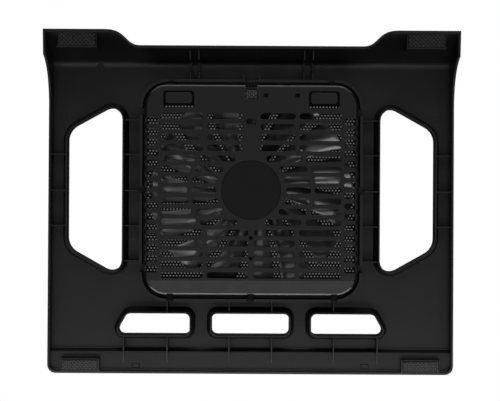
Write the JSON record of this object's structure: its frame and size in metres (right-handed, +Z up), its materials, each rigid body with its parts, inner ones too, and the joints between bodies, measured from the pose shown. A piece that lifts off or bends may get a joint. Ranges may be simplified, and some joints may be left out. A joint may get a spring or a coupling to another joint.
{
  "type": "laptop cooling pad",
  "caption": "Sloping laptop cooling pad: black moulded tray on rear ears, perforated panel, and a large fan on a slotted cover that swings out below.",
  "frame": {"origin": "on the desk under the middle of the pad's overall box", "axes": "+X across the pad to its right seen from the front, +Y from the front ledge to the raised rear edge, +Z up from the desk"},
  "size_m": [0.3994, 0.3376, 0.0537],
  "materials": {
    "shell_plastic": "fine textured black moulding",
    "painted_mesh": "satin black powder coat",
    "cover_plastic": "satin black moulding",
    "hub_film": "smooth dark disc",
    "fan_plastic": "semi-gloss black",
    "plated_steel": "plated",
    "magnet": "bonded ferrite",
    "bronze": "sintered bronze",
    "nylon": "natural nylon",
    "copper": "enamelled winding wire",
    "circuit_board": "green solder mask",
    "socket_plastic": "black moulding",
    "wire": "black insulated lead",
    "rubber": "cross-hatched dark grey rubber"
  },
  "bodies": {
    "shell": {"top_shell": "shell_plastic", "mesh_panel": "painted_mesh", "laptop_stop_left": "rubber", "laptop_stop_right": "rubber", "foot_front_left": "rubber", "foot_front_right": "rubber", "foot_rear_left": "rubber", "foot_rear_right": "rubber"},
    "cover": {"fan_cover": "cover_plastic", "hub_disc": "hub_film", "bearing_sleeve": "bronze", "thrust_washer": "nylon", "stator_core": "plated_steel", "coil_1": "copper", "coil_2": "copper", "coil_3": "copper", "coil_4": "copper", "motor_board": "circuit_board", "socket_board": "circuit_board", "power_socket": "socket_plastic", "fan_lead": "wire"},
    "fan": {"impeller": "fan_plastic", "rotor_yoke": "plated_steel", "magnet_ring": "magnet", "shaft": "plated_steel", "retaining_clip": "nylon"},
    "latch": {"cover_latch": "cover_plastic"},
    "slide_left": {"slide_latch_left": "cover_plastic"},
    "slide_right": {"slide_latch_right": "cover_plastic"}
  },
  "joints": [
    {"name": "cover_swing", "type": "hinge", "parent": "shell", "child": "cover", "pos_m": [0, -0.09509, 0.00696], "axis": [-1, 0, 0], "range_deg": [0, 60]},
    {"name": "fan_spin", "type": "hinge", "parent": "cover", "child": "fan", "pos_m": [0, 0.01094, 0.0283], "axis": [0, -0.1288, 0.9917], "continuous": true},
    {"name": "latch_press", "type": "hinge", "parent": "cover", "child": "latch", "pos_m": [0, 0.1014, 0.02744], "axis": [1, 0, 0], "range_deg": [0, 8], "stiffness_Nm_per_rad": 0.05, "springref_deg": -2.86},
    {"name": "slide_left_travel", "type": "slide", "parent": "cover", "child": "slide_left", "axis": [0, -0.9917, -0.1288], "range_m": [0, 0.0035]},
    {"name": "slide_right_travel", "type": "slide", "parent": "cover", "child": "slide_right", "axis": [0, -0.9917, -0.1288], "range_m": [0, 0.0035]}
  ]
}
